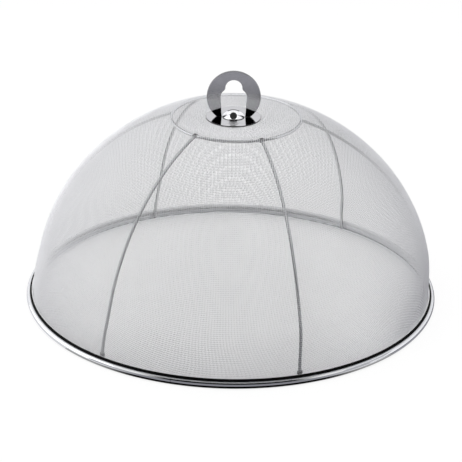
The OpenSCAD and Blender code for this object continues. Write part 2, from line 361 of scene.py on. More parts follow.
def distance(x, y):
    """How far a spot lies from an axis, worked out from its two places across that axis."""
    return (x * x + y * y) ** 0.5


def mesh_wire_finish(colours):
    """Bright drawn wire: a slow cloudiness over the sheet, fine drawing marks along each wire, a painted
    highlight at the front of the crown, and painted shade low down by the rim, except on the right."""
    f = Finish("woven_wire")
    x, y, z, spot = f.place()
    cloud, grain = f.noise(spot, 22, 3), f.noise(spot, 1400, 2)
    dull, bright, painted_highlight_tone = (tint(colours.mesh, share) for share in (0.93, 1.06, 1.09))
    colour = f.blend(cloud * 0.55 + grain * 0.45, dull, bright)
    # Painted highlight: the front of the crown is drawn brighter.
    crown = distance(x, y).below(CROWN_R - 8 * MM, CROWN_R - 3 * MM) * y.below(-40 * MM, -5 * MM)
    colour = f.blend(crown, colour, painted_highlight_tone)
    # Painted shade: the sheet is drawn darker low down by the rim, except on the right.
    low = z.below(20 * MM, 55 * MM) * x.below(70 * MM, 130 * MM)
    return f.surface(base_color=f.blend(low, colour, dull), metallic=1.0, roughness=0.42 + 0.2 * grain)


def frame_wire_finish(name, colours, painted_highlight_share):
    """Drawn steel wire: darker where it was heated, with fine marks, a few brighter rubs and a painted line
    of shade along both sides. With the last argument at 1, all but the front of the wire gets a painted
    highlight,
    and its painted shade lines are thin: in the front half they lie by both edges, and at the rear they fade."""
    f = Finish(name)
    _, y, _, spot = f.place()
    heated, drawn, rub_and_painted_light, polished, painted_side_shade = (
        tint(colours.frame_wire, share) for share in (0.8, 1.12, 1.5, 1.9, 0.25))
    # Painted highlight: with the last argument at 1, all but the front of the wire is drawn in the bright
    # tone.
    bright = painted_highlight_share * y.between(-0.92 * HOOP_R, -0.8 * HOOP_R)
    edges = bright * y.below(-0.2 * HOOP_R, 0)
    faded = 0.75 * painted_highlight_share * y.between(0.3 * HOOP_R, 0.7 * HOOP_R)
    turn = 2 * math.pi * f.map()[1] + 1.1 * edges
    start, full = 0.35 + 0.4 * bright - 0.45 * edges, 0.7 + 0.25 * bright - 0.45 * edges
    # Painted shade: a darker line down both sides of the wire.
    dull = (turn.sum("COSINE", turn) ** 2.0).between(start, full) * (1 - faded)
    marks, cloud = f.noise(spot, 900, 3), f.noise(spot, 60, 2)
    rub = f.noise(spot, 240, 4).between(0.58, 0.72)
    colour = f.blend(rub * 0.5, f.blend(cloud, heated, drawn), rub_and_painted_light)
    colour = f.blend(dull, f.blend(bright, colour, polished), painted_side_shade)
    return f.surface(base_color=colour, metallic=1.0, roughness=0.14 + 0.14 * marks,
                     normal=f.bump(marks, 0.1, 0.1 * MM))


def weld_finish(colours):
    """Weld metal: grey-brown scale over dull metal, with a lumpy skin."""
    f = Finish("weld_metal")
    scale = f.noise(f.place()[3], 700, 4)
    colour = f.blend(scale.between(0.4, 0.62), tint(colours.weld, 0.6), tint(colours.weld, 1.5))
    return f.surface(base_color=colour, metallic=1.0, roughness=0.42 + 0.2 * scale,
                     normal=f.bump(scale, 0.5, 0.3 * MM))


def turned_marks(f, along, across):
    """Noise drawn out round the Z axis, as a polishing wheel leaves it: along is its fineness round the
    axis and across its fineness over the section."""
    x, y, z, _ = f.place()
    radius = distance(x, y) + 0.001 * MM
    spot = f.vector(x / radius * along, y / radius * along, (radius + 0.7 * z) * across)
    return f.noise(spot, 1.0, 3)


def rim_finish(colours):
    """Polished strip: hair lines round the rim and faint cloudiness, satin along its top and inside, with a
    painted highlight that makes its inside lighter, matt on the raw lip, which is wider on the right, a
    painted line of shade just outside the raw lip, painted shade in the tube's mouth except on the right, and
    with the joint of its ends."""
    f = Finish("polished_rim")
    hair, cloud = turned_marks(f, 14, 5200), turned_marks(f, 9, 60)
    x, y, z, _ = f.place()
    radius = distance(x, y)
    aside = x / radius
    right, left = aside.between(*RIM_RIGHT), (0 - aside).between(0.6, 0.85)
    inner_r, soft = TUBE_AT_R - TUBE_R, 0.2 * MM
    ridge = z.between(RIM_HIGH.z - 0.5 * MM, RIM_HIGH.z - 0.35 * MM)
    inside = radius.below(inner_r, inner_r + 1 * MM)
    shade = f.blend(cloud, tint(colours.rim, 0.93), tint(colours.rim, 1.05))
    # Painted highlight: the inside of the tube is drawn lighter.
    shade = f.blend(inside, shade, tint(colours.rim, 1.2))
    shade = f.blend(ridge, shade, tint(colours.rim, 0.95))
    upper = z.between(0.1 * MM, 0.3 * MM)
    bare = LIP_R + 1.1 * MM + right * (SPHERE_R - LIP_R - 1.9 * MM)
    cut_end = bare + 1.2 * MM
    raw = upper * radius.below(bare, bare + soft)
    # Painted shade: a dark line just outside the raw lip, fainter on the left.
    cut = upper * radius.between(bare, bare + soft) * radius.below(cut_end, cut_end + soft) * (1 - 0.8 * left)
    seam = x * math.cos(JOINT) + y * math.sin(JOINT)
    joint = seam.size().below(0.1 * MM, 0.35 * MM) * y.below(-1 * MM, 0)
    mouth_r, mouth_low, mouth_high = TUBE_AT_R - 2 * MM, MOUTH_Z - 0.4 * MM, MOUTH_Z + 0.6 * MM
    # Painted shade in the tube's mouth, except on the right.
    mouth = radius.below(mouth_r, mouth_r + soft) * (1 - right)
    mouth = mouth * z.between(mouth_low, mouth_low + soft) * z.below(mouth_high, mouth_high + soft)
    return f.surface(
        base_color=f.blend(cut + mouth + 0.75 * joint, shade, tint(colours.rim, 0.05)),
        metallic=1 - 0.9 * raw, normal=f.bump(hair, 0.04, 0.05 * MM),
        roughness=0.05 + 0.09 * hair * cloud + 0.4 * inside * (1 - right) + 0.4 * ridge)


def seal_finish(colours):
    """Black bead: slightly dusty, with the sheen of skinned sealant, and a pale painted highlight on its
    inner side, reaching lower on the right.
    """
    f = Finish("black_seal")
    x, y, z, spot = f.place()
    skin = f.noise(spot, 420, 3)
    dust = f.noise(spot, 90, 4).between(0.55, 0.8)
    radius, soft = distance(x, y), 0.2 * MM
    # Painted highlight: the inner side of the bead is drawn in pale mesh colour, lower down on the right.
    highlight_r = SEAL_AT[0] - 0.3 * MM
    highlight_z = SEAL_AT[1] - 0.8 * MM - (x / radius).between(*RIM_RIGHT) * MM
    painted_inner_highlight = radius.below(highlight_r, highlight_r + soft) * z.between(highlight_z, highlight_z + soft)
    colour = f.blend(dust * 0.35, tint(colours.seal, 1), tint(colours.seal, 3.2))
    return f.surface(base_color=f.blend(painted_inner_highlight, colour, tint(colours.mesh, 0.9)), specular_ior_level=0.05,
                     roughness=0.42 + 0.25 * skin, normal=f.bump(skin, 0.35, 0.3 * MM))


def mirror_finish(name, colour, painted_shade_z, dull):
    """Mirror polish: faint rings from the polishing wheel, a breath of smudge, a satin spot where a thumb
    rests, and painted shade on the edge from the foot up to the given height, which keeps the given share of
    the colour."""
    f = Finish(name)
    rings = turned_marks(f, 5, 7000)
    x, y, z, spot = f.place()
    smudge = f.noise(spot, 160, 4).between(0.45, 0.8)
    thumb_y = -15 * MM
    thumb = distance(x, y - thumb_y).below(4 * MM, 7 * MM)
    # Painted shade: below the given height the edge keeps only the given share of the colour.
    polish = z.between(painted_shade_z - 0.05 * MM, painted_shade_z + 0.05 * MM)
    bright = f.blend(smudge, tint(colour, 1), tint(colour, 0.95))
    return f.surface(base_color=f.blend(polish, tint(colour, dull), bright), metallic=1.0,
                     roughness=0.03 + 0.03 * rings + 0.03 * smudge + 0.22 * thumb,
                     normal=f.bump(rings, 0.015, 0.03 * MM))


def ring_finish(colours):
    """Satin plate: fine lines across the ring, soft cloudiness, a painted highlight that makes it brighter
    towards the top, a darker outer edge, a painted dark reflection on the feet, and pale matt insides of the
    legs, painted lighter."""
    f = Finish("satin_ring")
    x, y, z, spot = f.place()
    lines = f.noise(f.vector(x * 90, y * 400, z * 5200), 1.0, 3)
    cloud = f.noise(spot, 130, 3)
    # Painted highlight: the ring is drawn brighter towards the top.
    rub_and_painted_light = z.between(RING_Z - 2 * MM, RING_HIGH.z - 4 * MM)
    colour = f.blend(rub_and_painted_light, tint(colours.ring, 0.82), tint(colours.ring, 1.38))
    colour = f.blend(0.35 * cloud + 0.25 * lines, colour, tint(colours.ring, 0.7))
    # The outer edge is drawn darker.
    dark_outer_edge = distance(x, z - RING_Z).between(RING_R - 0.25 * MM, RING_R - 0.1 * MM)
    colour = f.blend(dark_outer_edge, colour, tint(colours.ring, 0.3))
    shin, face = RING_FOOT_Z + 11.75 * MM, RING_T / 2
    # Painted reflection: the faces of the feet are drawn nearly black below a slanted line.
    dark = (z + 0.37 * x.size()).below(shin - 0.2 * MM, shin + 0.2 * MM)
    dark = dark * y.size().between(face - 0.2 * MM, face - 0.1 * MM)
    colour = f.blend(dark, colour, tint(colours.ring, 0.02))
    # Painted light: the insides of the legs are drawn paler and matt.
    inner = y.size().below(face - 0.3 * MM, face - 0.15 * MM) * x.size().below(11.2 * MM, 11.6 * MM)
    inner = inner * z.below(RING_Z - 4 * MM, RING_Z - 2 * MM)
    return f.surface(base_color=f.blend(inner, colour, tint(colours.ring, 1.55)), metallic=1 - 0.9 * inner,
                     roughness=0.1 + 0.08 * lines + 0.4 * inner, normal=f.bump(lines, 0.03, 0.05 * MM))


def fixing_finish(name, colour):
    """Plain stainless: turning marks round the axis and dull spots."""
    f = Finish(name)
    turning = turned_marks(f, 6, 4200)
    dull = f.noise(f.place()[3], 260, 3)
    return f.surface(base_color=f.blend(dull, tint(colour, 0.82), tint(colour, 1.1)), metallic=1.0,
                     roughness=0.24 + 0.2 * turning, normal=f.bump(turning, 0.1, 0.1 * MM))


# Surfaces


def make_piece(name, points, quads, corners, triangles=NO_TRIANGLES, sharp=None):
    """Puts whole arrays of points, faces and the quads' map corners into a new mesh object at the origin."""
    mesh = bpy.data.meshes.new(name)
    index = np.concatenate([quads.ravel(), triangles.ravel()]).astype(np.int32)
    starts = np.concatenate([np.arange(len(quads)) * 4, quads.size + np.arange(len(triangles)) * 3])
    mesh.vertices.add(len(points))
    mesh.vertices.foreach_set("co", np.ascontiguousarray(points, np.float32).ravel())
    mesh.loops.add(len(index))
    mesh.loops.foreach_set("vertex_index", index)
    mesh.polygons.add(len(starts))
    mesh.polygons.foreach_set("loop_start", starts.astype(np.int32))
    layer = mesh.uv_layers.new(name="OFBake")
    flat = np.concatenate([corners.reshape(-1, 2), np.zeros((triangles.size, 2))])
    layer.uv.foreach_set("vector", np.ascontiguousarray(flat, np.float32).ravel())
    mesh.update(calc_edges=True)
    mesh.validate()
    mesh.shade_smooth()
    if sharp:
        mesh.set_sharp_from_angle(angle=math.radians(sharp))
    obj = bpy.data.objects.new(name, mesh)
    bpy.context.scene.collection.objects.link(obj)
    return obj


def close_poles(obj, outwards=False):
    """Merges the points that meet at a pole, and may turn all faces outwards."""
    work = bmesh.new()
    work.from_mesh(obj.data)
    bmesh.ops.remove_doubles(work, verts=work.verts, dist=1e-7)
    if outwards:
        bmesh.ops.recalc_face_normals(work, faces=work.faces)
    work.to_mesh(obj.data)
    work.free()


def coat(obj, material):
    """Gives an object one finish in place of those that it had."""
    obj.data.materials.clear()
    obj.data.materials.append(material)


def fit_piece(obj, material, body, slot, *nodes):
    """Gives a piece its finish and its body, and hides the nodes that it stands for; the slot is not used."""
    coat(obj, material)
    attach(obj, body)
    if nodes:
        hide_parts(*nodes)


def grid_faces(rows, columns, wrap_rows=False, wrap_columns=False):
    """Quads over a grid of points, row by row, with their map corners from 0 to 1 each way."""
    last_row, last_column = rows - (not wrap_rows), columns - (not wrap_columns)
    i, j = np.meshgrid(np.arange(last_row), np.arange(last_column), indexing="ij")
    i, j = i.ravel(), j.ravel()
    steps = np.array([[0, 0], [1, 0], [1, 1], [0, 1]])
    row, column = i[:, None] + steps[:, 0], j[:, None] + steps[:, 1]
    quads = (row % rows) * columns + column % columns
    return quads, np.stack([row / last_row, column / last_column], axis=2)


def arc(middle, radius, start, end, steps):
    """Points on a circle round middle, from one angle to the other, in degrees."""
    a = np.radians(np.linspace(start, end, steps))
    return np.stack([middle[0] + radius * np.cos(a), middle[1] + radius * np.sin(a)], axis=1)


def turned(name, outline, steps, closed=True, sharp=None):
    """A section of radius and height carried round the Z axis. Each point is (r cos a, r sin a, z). The
    section runs anticlockwise, so that the faces look outwards."""
    a = np.arange(steps) * 2 * np.pi / steps
    r, z = outline[:, 0], outline[:, 1]
    points = np.stack([np.outer(np.cos(a), r), np.outer(np.sin(a), r), np.tile(z, (steps, 1))], axis=2)
    quads, corners = grid_faces(steps, len(outline), True, closed)
    return make_piece(name, points.reshape(-1, 3), quads, corners, sharp=sharp)


def flat_sheet(name, middle, half_wide, half_tall):
    """A flat sheet: its middle, less or plus each of its half axes."""
    middle, wide, tall = (np.array(v, float) for v in (middle, half_wide, half_tall))
    points = np.stack([middle + i * wide + j * tall for i in (-1, 1) for j in (-1, 1)])
    return make_piece(name, points, *grid_faces(2, 2))


def unit(vectors):
    """Vectors brought to length 1."""
    return vectors / np.linalg.norm(vectors, axis=-1, keepdims=True)


def evenly(line, steps):
    """Distances at even steps along a line, and the points there."""
    length = np.concatenate([[0], np.cumsum(np.linalg.norm(np.diff(line, axis=0), axis=1))])
    even = np.linspace(0, length[-1], steps)
    return even, np.stack([np.interp(even, length, line[:, k]) for k in (0, 1)], axis=1)


def sheet_line(bend):
    """The pressed sheet's middle from its centre out to the end of the flange, as arc length and as points of
    radius and height: a flat seat, a slope up to the crown's edge, the sphere and the flange. A moving
    average rounds the bends, but not the one by the flange."""
    fall = np.linspace(math.asin(CROWN_R / SPHERE_R), math.acos((FLANGE_Z - SPHERE_Z) / SPHERE_R), 2000)
    ball = np.stack([SPHERE_R * np.sin(fall), SPHERE_Z + SPHERE_R * np.cos(fall)], axis=1)
    even, line = evenly(np.concatenate([
        [(0, SEAT_Z), (SEAT_R, SEAT_Z), (CROWN_R, CROWN_Z)], ball[1:], [(FLANGE_R, FLANGE_Z)]]), SHEET_STEPS)
    count = max(1, int(round(bend / (even[1] - even[0]))))
    weight = np.hanning(2 * count + 3)[1:-1]
    padded = np.concatenate([2 * line[0] - line[count:0:-1], line, 2 * line[-1] - line[-2:-count - 2:-1]])
    soft = np.stack([np.convolve(padded[:, k], weight / weight.sum(), "valid") for k in (0, 1)], axis=1)
    near_flange = even[-1] - even < 5 * MM
    soft[near_flange] = line[near_flange]
    return even, soft


def eased(value, low, high):
    """0 up to low, 1 from high on, and a smooth step between."""
    t = np.clip((value - low) / (high - low), 0, 1)
    return t * t * (3 - 2 * t)


def leaning(points, lean):
    """Points of the dome moved to the right: none at the rim, all from LEAN_Z up, less inside the crown."""
    share = eased(points[..., 2], SEAL_HIGH.z, LEAN_Z)
    share = share * eased(np.hypot(points[..., 0], points[..., 1]), SEAT_R, CROWN_R - 2 * MM)
    return points + share[..., None] * np.array([lean, 0, 0])


def on_sheet(u, v, line, sizes):
    """The place and the outward normal on the pressed sheet of a spot (u, v) of the flat sheet: its distance
    from the centre becomes arc length down the dome, and its direction stays. The sheet swells out a little
    at half height and leans with the frame."""
    even, soft = line
    far = np.hypot(u, v) + 1e-12
    slope = np.gradient(soft, even, axis=0)
    r, z = (np.interp(far, even, soft[:, k]) for k in (0, 1))
    dr, dz = (np.interp(far, even, slope[:, k]) for k in (0, 1))
    x, y = u / far, v / far
    normal = unit(np.stack([-dz * x, -dz * y, dr], axis=-1))
    swell = sizes.swell * eased(z, SEAL_HIGH.z, SWELL_LOW) * (1 - eased(z, SWELL_HIGH, HOOP_LOW.z))
    return leaning(np.stack([r * x, r * y, z], axis=-1) + swell[..., None] * normal, sizes.lean), normal


def woven(name, sizes, line, warp, low, high):
    """The wires of one direction between two places across the sheet. A wire passes over and under the
    crossing wires by turns: its middle lies half a wire above or below the sheet at every crossing, and
    three points round it, a little outside the round wire, make its section."""
    pitch, radius = sizes.mesh_pitch, sizes.mesh_wire / 2
    reach = line[0][-1]
    count = int(reach / pitch)
    every = np.arange(-count, count + 1)
    mine = every[(every * pitch >= low) & (every * pitch < high)]
    i, j = np.meshgrid(mine, every, indexing="ij")
    lift = np.where((i + j) % 2 == 0, radius, -radius) * (1 if warp else -1)
    across, along = i * pitch, j * pitch
    far = np.hypot(across, along)
    there = (far < reach) & (far > HOLE_R)
    step = pitch / 8

    def spot(t):
        return on_sheet(*((across, along + t) if warp else (along + t, across)), line, sizes)

    middle, normal = spot(0)
    side = unit(np.cross(unit(spot(step)[0] - spot(-step)[0]), normal))
    a, section_r = np.radians([90, 210, 330]), 1.2 * radius
    ring = (np.cos(a)[:, None] * side[..., None, :] + np.sin(a)[:, None] * normal[..., None, :]) * section_r
    points = (middle + lift[..., None] * normal)[..., None, :] + ring
    number = np.cumsum(there.ravel()).reshape(there.shape) - 1
    joined = there[:, :-1] & there[:, 1:]
    here, ahead = number[:, :-1][joined][:, None] * 3, number[:, 1:][joined][:, None] * 3
    k = np.arange(3)
    after = (k + 1) % 3
    quads = np.stack([ahead + k, ahead + after, here + after, here + k], axis=2)
    rows, columns = (index[:, None, None] for index in np.nonzero(joined))
    u = (columns + np.array([1, 1, 0, 0])) / len(every)
    v = (rows * 3 + k[:, None] + np.array([0, 1, 1, 0])) / (3 * len(mine))
    corners = np.stack(np.broadcast_arrays(u, v), axis=-1)
    padded = np.pad(there, ((0, 0), (1, 1)))
    starts = number[there & ~padded[:, :-2]] * 3
    ends = number[there & ~padded[:, 2:]] * 3
    caps = np.concatenate([starts[:, None] + k, ends[:, None] + k[::-1]])
    return make_piece(name, points[there].reshape(-1, 3), quads.reshape(-1, 4), corners, caps)


def bead(middle, axes, rows=18, columns=28):
    """A smooth lump: a ball stretched along three axes that carry their own lengths."""
    up, round_ = np.linspace(0, np.pi, rows), np.arange(columns) * 2 * np.pi / columns
    ball = np.stack([np.outer(np.sin(up), np.cos(round_)), np.outer(np.sin(up), np.sin(round_)),
                     np.outer(np.cos(up), np.ones(columns))], axis=2)
    return middle + ball @ axes


def joined_piece(name, grids):
    """One piece from several closed grids of the same size, whose columns wrap."""
    rows, columns = grids[0].shape[:2]
    quads, corners = grid_faces(rows, columns, False, True)
    shift = (np.arange(len(grids)) * rows * columns)[:, None, None]
    points = np.concatenate([g.reshape(-1, 3) for g in grids])
    obj = make_piece(name, points, (quads[None] + shift).reshape(-1, 4), np.tile(corners, (len(grids), 1, 1)))
    close_poles(obj, outwards=True)
    return obj


def rib_path(angles, start, end, steps):
    """A line up the frame's sphere from one angle round the dome to another, with a parabola's bow between
    them, as outward directions (sin a cos rise, -cos a cos rise, sin rise) and sideways directions."""
    share, rise = np.linspace(0, 1, steps), np.linspace(start, end, steps)
    foot, top, bow = np.radians(angles)
    a = foot + (top - foot) * share + 4 * bow * share * (1 - share)
    out = np.stack([np.sin(a) * np.cos(rise), -np.cos(a) * np.cos(rise), np.sin(rise)], axis=1)
    return out, np.stack([np.cos(a), np.sin(a), np.zeros(steps)], axis=1)


def wire_with_ends(path, across, radius, sides):
    """A round wire along a path: at each point a circle over the sideways direction and the one across it.
    Its first and last rings shrink to a point, so that its ends are closed and flat."""
    other = np.cross(unit(np.gradient(path, axis=0)), across)
    a = (np.arange(sides) * 2 * np.pi / sides)[:, None]
    rings = path[:, None] + radius * (across[:, None] * np.cos(a) + other[:, None] * np.sin(a))
    return np.concatenate([np.tile(path[0], (1, sides, 1)), rings, np.tile(path[-1], (1, sides, 1))])


def rim_section():
    """Section of the rim: a flat lip with a round end, and a tube rolled up from it as far as its mouth."""
    tube = (TUBE_AT_R, TUBE_R)
    outer_end, inner_end = (
        180 - math.degrees(math.asin((MOUTH_Z - TUBE_R) / r)) for r in (TUBE_R, TUBE_R - RIM_WALL))
    return np.concatenate([
        arc((LIP_R + RIM_WALL / 2, RIM_WALL / 2), RIM_WALL / 2, 90, 270, 8),
        [[LIP_R + 2 * RIM_WALL, 0], [TUBE_AT_R - RIM_WALL, 0]],
        arc(tube, TUBE_R, -90, outer_end, 56),
        arc(tube, TUBE_R - RIM_WALL, inner_end, -90, 28),
        [[TUBE_AT_R - RIM_WALL, RIM_WALL], [LIP_R + 2 * RIM_WALL, RIM_WALL]]])


def seal_section():
    """Section of the bead: a circle cut by the mesh wall and by the rolled edge below it."""
    tube, gap_r = (TUBE_AT_R, TUBE_R), TUBE_R + 0.05 * MM
    away = np.array(tube) - np.array(SEAL_AT)
    far = np.linalg.norm(away)
    along = (SEAL_R ** 2 - gap_r ** 2 + far ** 2) / (2 * far)
    half = math.sqrt(SEAL_R ** 2 - along ** 2)
    ahead, aside = away / far, np.array([-away[1], away[0]]) / far
    upper, lower = (np.array(SEAL_AT) + along * ahead + sign * half * aside for sign in (1, -1))
    wall = math.degrees(math.acos((SEAL_WALL_R - SEAL_AT[0]) / SEAL_R))

    def angle(point, middle):
        return (math.degrees(math.atan2(point[1] - middle[1], point[0] - middle[0])) + 90) % 360 - 90

    return np.concatenate([
        arc(SEAL_AT, SEAL_R, angle(upper, SEAL_AT), wall, 24),
        arc(SEAL_AT, SEAL_R, 360 - wall, angle(lower, SEAL_AT), 6),
        arc(tube, gap_r, angle(lower, tube), angle(upper, tube), 14)[1:-1]])


def plate_section():
    """Section of the base plate: a disc with a hole, a nearly sharp foot and a rounded upper edge."""
    edge, foot, r, low, high = 0.4 * MM, 0.05 * MM, PLATE_HIGH.x, PLATE_LOW.z, PLATE_HIGH.z
    return np.concatenate([
        [[SCREW_HOLE_R, low], [r - 0.3 * MM, low], [r - foot, low], [r, low + foot]],
        arc((r - edge, high - edge), edge, 0, 90, 12),
        [[r - edge - 0.2 * MM, high], [SCREW_HOLE_R, high]]])


def nut_section():
    """Section of the dome nut: a rounded foot, a short flank and a cap of a ball up to the axis."""
    edge, r, foot, top = 0.12 * MM, NUT_HIGH.x, NUT_LOW.z, NUT_HIGH.z
    rise = top - foot - NUT_FLANK
    ball = (r ** 2 + rise ** 2) / (2 * rise)
    start = math.degrees(math.asin((ball - rise) / ball))
    return np.concatenate([
        [[SCREW_HOLE_R, foot], [r - 0.3 * MM, foot]],
        arc((r - edge, foot + edge), edge, -90, 0, 5),
        [[r, foot + NUT_FLANK - edge]],
        arc((0, top - ball), ball, start + 0.4, 90, 40)])


def ring_sides(steps):
    """Inner and outer line of the ring's right half from its foot up to its top, as points (x, height from
    the ring's middle): the leg's straight side, the shoulder, the neck and the arch, and against each
    point the outer circle at the same angle, eased so that both lines end at the foot."""
    arch_r, band, neck_r, leg_x, foot_x, bow = 6.95 * MM, 7.65 * MM, 3.0 * MM, 10.9 * MM, 9.6 * MM, 52
    bow_x, bow_z = 1 - math.cos(math.radians(bow)), math.sin(math.radians(bow))
    arch_z, foot_z = RING_R - band - arch_r, RING_FOOT_Z - RING_Z
    shoulder_r = (leg_x - arch_r - neck_r * bow_x) / bow_x
    shoulder_z = arch_z - (neck_r + shoulder_r) * bow_z
    lean = (leg_x - foot_x) / (shoulder_z - foot_z + 0.95 * MM)
    inner = evenly(np.concatenate([
        [(leg_x - lean * (shoulder_z - foot_z), foot_z)],
        arc((leg_x - shoulder_r, shoulder_z), shoulder_r, 0, bow, 24),
        arc((arch_r + neck_r, arch_z), neck_r, 180 + bow, 180, 14)[1:],
        arc((0, arch_z), arch_r, 0, 90, 40)[1:]]), steps)[1]
    angle = np.arctan2(inner[:, 1], inner[:, 0])
    shoulder_angle, foot_angle = math.atan2(shoulder_z, leg_x), math.asin(foot_z / RING_R)
    share = (shoulder_angle - angle) / (shoulder_angle - angle[0])
    low_angle = shoulder_angle - (shoulder_angle - foot_angle) * share
    angle = np.where(angle < shoulder_angle, low_angle, angle)
    return inner, RING_R * np.stack([np.cos(angle), np.sin(angle)], axis=1)


def ring_plate(edge):
    """A plate's section, a rectangle with eased corners, carried from foot to foot: the points by its inner
    edge lie off the inner line along that line's normal, and those by its outer edge along the radius."""
    mirror_x = np.array([-1, 1])
    inner, outer = (np.concatenate([side, side[-2::-1] * mirror_x]) for side in ring_sides(90))
    ahead = np.gradient(inner, axis=0)
    into, out = unit(np.stack([ahead[:, 1], -ahead[:, 0]], axis=1)), unit(outer)
    half, inset = RING_T / 2, edge + 0.15 * MM
    start = np.concatenate([arc((edge, -half + edge), edge, 180, 270, 6), [[inset, -half]]])
    depth = np.concatenate([start[:, 1], start[::-1, 1], -start[:, 1], -start[::-1, 1]])
    near = inner[:, None] + start[:, 0, None] * into[:, None]
    far = outer[:, None] - start[::-1, 0, None] * out[:, None]
    flat = np.concatenate([near, far, far[:, ::-1], near[:, ::-1]], axis=1)
    points = np.stack([flat[..., 0], np.tile(depth, (len(inner), 1)), flat[..., 1] + RING_Z], axis=2)
    tips = [np.tile(points[k].mean(axis=0), (1, len(depth), 1)) for k in (0, -1)]
    obj = joined_piece("satin_ring", [np.concatenate([tips[0], points, tips[1]])])
    obj.data.set_sharp_from_angle(angle=math.radians(40))
    return obj


# Operators


class PieceOperator:
    """What the operators of all pieces share."""

    bl_options = {"REGISTER", "UNDO"}

    @staticmethod
    def settings():
        return bpy.context.scene.food_cover


class COVER_OT_mesh(PieceOperator, bpy.types.Operator):
    """Weave the wire sheet over the dome"""

    bl_idname = "cover.mesh"
    bl_label = "Woven mesh"

    def execute(self, context):
        sizes, colours = self.settings().sizes, self.settings().colours
        line = sheet_line(sizes.bend)
        finish = mesh_wire_finish(colours)
        reach = line[0][-1] + sizes.mesh_pitch
        middle = MIDDLE_SHARE * reach
        for warp, names in ((True, ("left", "middle", "right")), (False, ("front", "middle", "rear"))):
            for name, low, high in zip(names, (-reach, -middle, middle), (-middle, middle, reach)):
                piece = woven(f"mesh_{'warp' if warp else 'weft'}_{name}", sizes, line, warp, low, high)
                fit_piece(piece, finish, "cover", "mesh", "mesh_dome")
        return {"FINISHED"}


class COVER_OT_frame(PieceOperator, bpy.types.Operator):
    """Bend and weld the wire frame"""

    bl_idname = "cover.frame"
    bl_label = "Wire frame"

    def execute(self, context):
        sizes, colours = self.settings().sizes, self.settings().colours
        steel, weld = frame_wire_finish("rib_wire", colours, 0.0), weld_finish(colours)
        hoop = turned("hoop_wire", arc((HOOP_R, HOOP_Z), FRAME_WIRE_R, 0, 337.5, 16), 180)
        hoop.data.transform(Matrix.Translation((sizes.lean, 0, 0)))
        fit_piece(hoop, frame_wire_finish("hoop_wire", colours, 1.0), "cover", "frame_wire", "crown_hoop")
        tops, feet = [], []
        for node, angles in RIB_ANGLES.items():
            out, across = rib_path(angles, RIB_FOOT_ANGLE, RIB_TOP_ANGLE, 96)
            path = leaning(out * FRAME_R + np.array([0, 0, SPHERE_Z]), sizes.lean)
            rod = joined_piece(f"wire_{node}", [wire_with_ends(path, across, FRAME_WIRE_R, 14)])
            fit_piece(rod, steel, "cover", "frame_wire", node)
            share = 1 if "front" in node else SMALL_WELD
            # Of each weld: its place along the rib, its rise, and half its length, height and depth.
            for k, lumps, rise, *half_sizes in (
                    (-1, tops, 1.5 * MM, sizes.weld_length / 2, 2.1 * MM, 1.7 * MM),
                    (3, feet, 0, 2.4 * MM, 2.4 * MM, 1.3 * MM)):
                up = np.cross(out[k], across[k])
                axes = np.stack([across[k], up, out[k]]) * np.array(half_sizes)[:, None]
                lumps.append(bead(path[k] + up * rise * share, axes * share))
        fit_piece(joined_piece("hoop_welds", tops), weld, "cover", "frame_wire")
        fit_piece(joined_piece("foot_welds", feet), weld, "cover", "frame_wire")
        coat(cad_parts["base_hoop"], fixing_finish("base_wire", colours.rim))
        return {"FINISHED"}


class COVER_OT_rim(PieceOperator, bpy.types.Operator):
    """Roll the rim strip round the sheet's edge and lay the black bead"""

    bl_idname = "cover.rim"
    bl_label = "Rim and seal"

    def execute(self, context):
        colours = self.settings().colours
        rim = turned("rolled_rim", rim_section(), 320, sharp=50)
        fit_piece(rim, rim_finish(colours), "cover", "rim", "rim_ring")
        seal = turned("black_bead", seal_section(), 320, sharp=50)
        fit_piece(seal, seal_finish(colours), "cover", "seal", "edge_seal")
        return {"FINISHED"}


class COVER_OT_handle(PieceOperator, bpy.types.Operator):
    """Press the base plate and the dome nut, cut the ring plate and dress the fixings"""

    bl_idname = "cover.handle"
    bl_label = "Ring handle"

    def execute(self, context):
        sizes, colours = self.settings().sizes, self.settings().colours
        # Painted shade: the plate's edge is drawn at 0.06 of its colour and the nut's flank at 0.4.
        plate_finish = mirror_finish("mirror_plate", colours.plate, PLATE_HIGH.z - 0.03 * MM, 0.06)
        nut_finish = mirror_finish("mirror_nut", colours.nut, NUT_LOW.z + NUT_FLANK, 0.4)
        plate = turned("mirror_plate", plate_section(), 180, sharp=50)
        fit_piece(plate, plate_finish, "handle", "mirror_plate", "handle_base_plate")
        nut = turned("polished_nut", nut_section(), 120, closed=False, sharp=40)
        close_poles(nut)
        fit_piece(nut, nut_finish, "handle", "mirror_plate", "dome_nut")
        fit_piece(ring_plate(sizes.ring_edge), ring_finish(colours), "handle", "ring", "handle_ring")
        plain = fixing_finish("plain_fixings", colours.fixings)
        for node in ("fixing_screw", "spring_washer", "backing_washer"):
            coat(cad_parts[node], plain)
        return {"FINISHED"}


